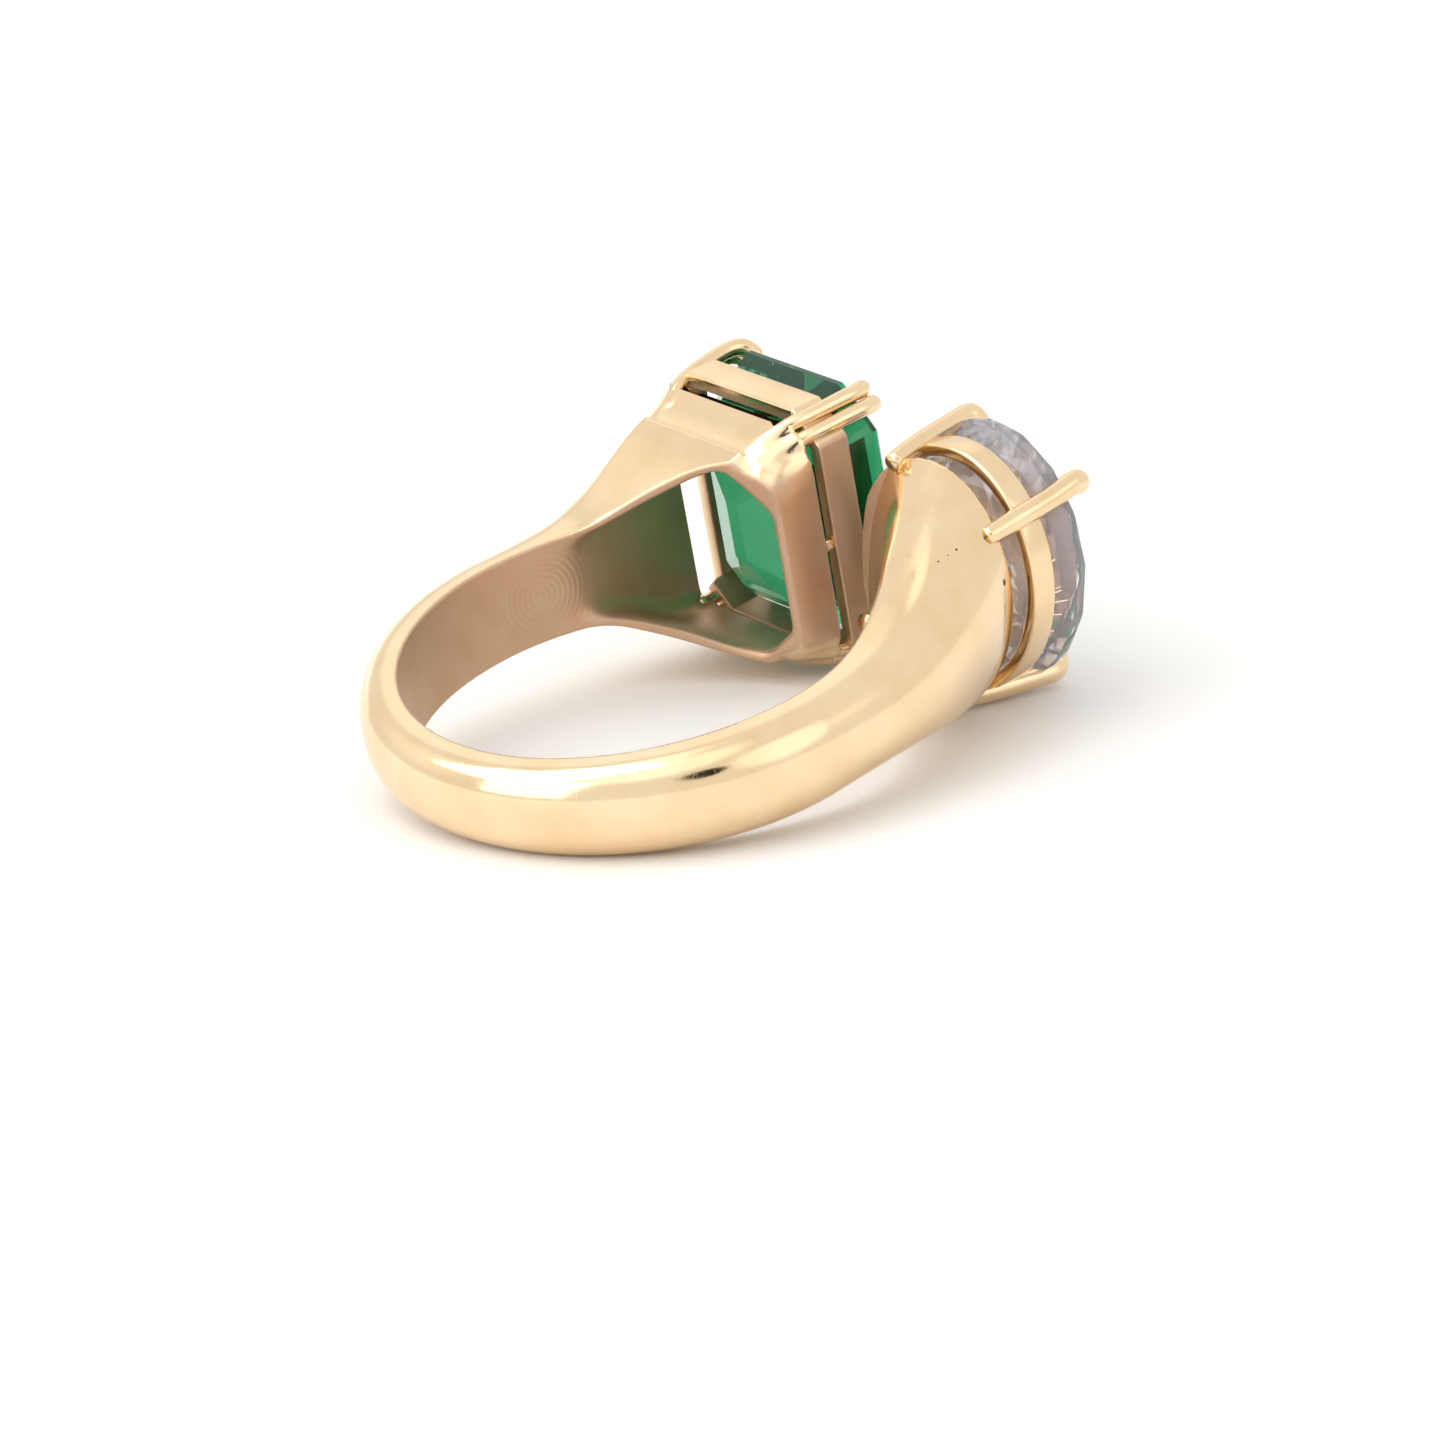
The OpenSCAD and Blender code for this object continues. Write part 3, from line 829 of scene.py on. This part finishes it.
def make_rail():
    """The rail is rougher inside and on the side that faces the white stone, and painted darker there as
    shade.
    """
    ob = frame_piece("green_rail_frame", rounded_cut_outline(BOX_L, BOX_W, CORNER, 0.12),
                     RAIL_X0, RAIL_X1, RAIL_WALL, at_green, lift=rail_lift)
    at = np.array([v.co for v in ob.data.vertices]) @ LAY_NP / MM
    within = np.maximum(np.abs(at[:, 1] - BOX_Y) - BOX_W / 2, np.abs(at[:, 2]) - BOX_L / 2)
    # painted shade on the rail's inside and on its side towards the white stone, together with the rougher
    # finish
    set_dullness_and_shade(ob, np.maximum(ease((-0.1 - within) / 0.15), ease((1.62 - at[:, 1]) / 0.12)))
    finish_piece(ob, GOLD, "gold", "green_rail")


def make_gallery():
    ang = np.radians(np.arange(0, 360, 3))
    a, b = CUP_L / 2 + 0.22, CUP_W / 2 + 0.22
    ob = frame_piece("white_gallery_band", np.stack([a * np.cos(ang), b * np.sin(ang)], 1), 0.8, 1.8, 0.5,
                     lambda u, v, w: cup_world([u, v, w]), bevel=0.12)
    finish_piece(ob, GOLD_WIRE, "gold", "white_gallery")


def white_claw_path(i):
    """A claw's middle line, from the cup's rim past the gallery and over the stone's edge."""
    start = (38, 142, 218, 322)[i - 1]
    rows = [(-0.02, 0, -0.55), (0.22, -2, 0.8), (0.38, -4, 2.3), (0.48, -6, 3.3), (0.42, -6, 3.7),
            (0.15, -6, 3.92)]
    path = []
    for out, twist, z in rows:
        t = math.radians(start + twist)
        path.append(cup_world([(CUP_L / 2 + out) * math.cos(t), (CUP_W / 2 + out) * math.sin(t), z]))
    return path


make_casting()
make_rail()
for i in range(1, 9):
    wire = tube(f"green_claw_wire_{i}", green_claw_path(i), GREEN_CLAW_R)
    finish_piece(wire, GOLD_WIRE, "gold", f"green_claw_{i}")
finish_piece(emerald("green_emerald_cut"), GREEN, "green_gem", "green_stone")
make_gallery()
for i in range(1, 5):
    wire = tube(f"white_claw_wire_{i}", white_claw_path(i), WHITE_CLAW_R)
    finish_piece(wire, GOLD_WIRE, "gold", f"white_claw_{i}")
finish_piece(oval_brilliant("white_oval_cut"), WHITE, "white_gem", "white_stone")

# ---------- stage, light and camera ----------

def make_floor():
    """A pale card, just under the ring's lowest point."""
    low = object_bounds()[0][2]
    bm = bmesh.new()
    bmesh.ops.create_grid(bm, x_segments=2, y_segments=2, size=0.6)
    me = bpy.data.meshes.new("floor")
    bm.to_mesh(me)
    bm.free()
    ob = bpy.data.objects.new("floor", me)
    bpy.context.collection.objects.link(ob)
    ob.location = (0, 0, low - 0.00002)
    m, nt, bsdf = node_tree("floor_card")
    tone = noise(nt, object_coord(nt), 60, 3, 0.5)
    nt.links.new(ramp(nt, tone, [(0.3, (0.86, 0.86, 0.86)), (0.7, (0.88, 0.88, 0.88))]),
                 bsdf.inputs["Base Color"])
    bsdf.inputs["Roughness"].default_value = 0.7
    bsdf.inputs["Specular IOR Level"].default_value = 0.2
    me.materials.append(m)


def softbox(name, where, size, power, colour=(1, 1, 1)):
    """A rectangular light that faces the ring."""
    d = bpy.data.lights.new(name, "AREA")
    d.shape, d.size, d.size_y, d.energy, d.color = "RECTANGLE", size[0], size[1], power, colour
    o = bpy.data.objects.new(name, d)
    o.location = where
    o.rotation_euler = (-Vector(where)).to_track_quat("-Z", "Y").to_euler()
    bpy.context.collection.objects.link(o)


def lobe(nt, coord, azimuth, height, inner, outer, lit, dim=0.0):
    """Light of strength lit inside a round patch of the studio, fading to dim at its edge (degrees)."""
    a, e = math.radians(azimuth), math.radians(height)
    dot = nt.nodes.new("ShaderNodeVectorMath")
    dot.operation = "DOT_PRODUCT"
    dot.inputs[1].default_value = (math.cos(e) * math.cos(a), math.cos(e) * math.sin(a), math.sin(e))
    nt.links.new(coord, dot.inputs[0])
    edge = math.cos(math.radians(outer)), math.cos(math.radians(inner))
    return span(nt, dot.outputs["Value"], *edge, dim, lit)


# softboxes behind the tent's cloth: azimuth, height, full and faded radius (degrees), strength
SOFT_PATCHES = [(-80, 28, 17, 24, 0.45), (-150, 62, 20, 28, 0.45), (110, 76, 9, 13, 0.5),
                (125, 32, 8, 26, 0.16), (58, 45, 10, 20, 0.22), (72, -8, 16, 24, 0.5)]
CLOTH = 0.95
# the dark opening for the lens, with its strength inside and outside
LENS_OPENING = (-116, 26, 7, 10, 0.03, 1.0)


def make_studio():
    """A bright white tent round the ring."""
    world = bpy.data.worlds.new("studio")
    bpy.context.scene.world = world
    world.use_nodes = True
    nt = world.node_tree
    nt.nodes.clear()
    out = nt.nodes.new("ShaderNodeOutputWorld")
    background = nt.nodes.new("ShaderNodeBackground")
    nt.links.new(background.outputs[0], out.inputs[0])
    coord = nt.nodes.new("ShaderNodeTexCoord").outputs["Generated"]
    light = lobe(nt, coord, *SOFT_PATCHES[0])
    for patch in SOFT_PATCHES[1:]:
        light = math_node(nt, "ADD", light, lobe(nt, coord, *patch))
    light = math_node(nt, "MULTIPLY", math_node(nt, "ADD", light, CLOTH), lobe(nt, coord, *LENS_OPENING))
    tint = ramp(nt, light, [(0.05, (1.0, 0.85, 0.65)), (0.40, (1.0, 0.985, 0.96))])
    nt.links.new(tint, background.inputs["Color"])
    nt.links.new(light, background.inputs["Strength"])


# the camera in the ring's own frame: its place (mm), and its right, up and back directions
CAMERA_AT = (-98.218, -141.080, 89.961)
CAMERA_AXES = ((0.749269, -0.642675, -0.159889), (0.418348, 0.272148, 0.866557),
               (-0.513401, -0.716174, 0.472774))


def make_camera():
    cam = bpy.data.cameras.new("camera")
    cam.lens, cam.sensor_width = 141.3, 36.0
    cam.clip_start, cam.clip_end = 0.01, 10
    rig = bpy.data.objects.new("camera", cam)
    bpy.context.collection.objects.link(rig)
    turn = LAY @ Matrix(CAMERA_AXES).transposed()
    rig.matrix_world = Matrix.Translation(LAY @ Vector(CAMERA_AT) * MM) @ turn.to_4x4()
    bpy.context.scene.camera = rig
    bpy.context.scene.view_settings.view_transform = "Standard"


make_floor()
softbox("top_softbox", (-0.16, 0.09, 0.27), (0.22, 0.30), 0.34)
softbox("left_softbox", (-0.30, 0.02, 0.14), (0.20, 0.24), 0.20, (1.0, 0.98, 0.95))
make_studio()
make_camera()
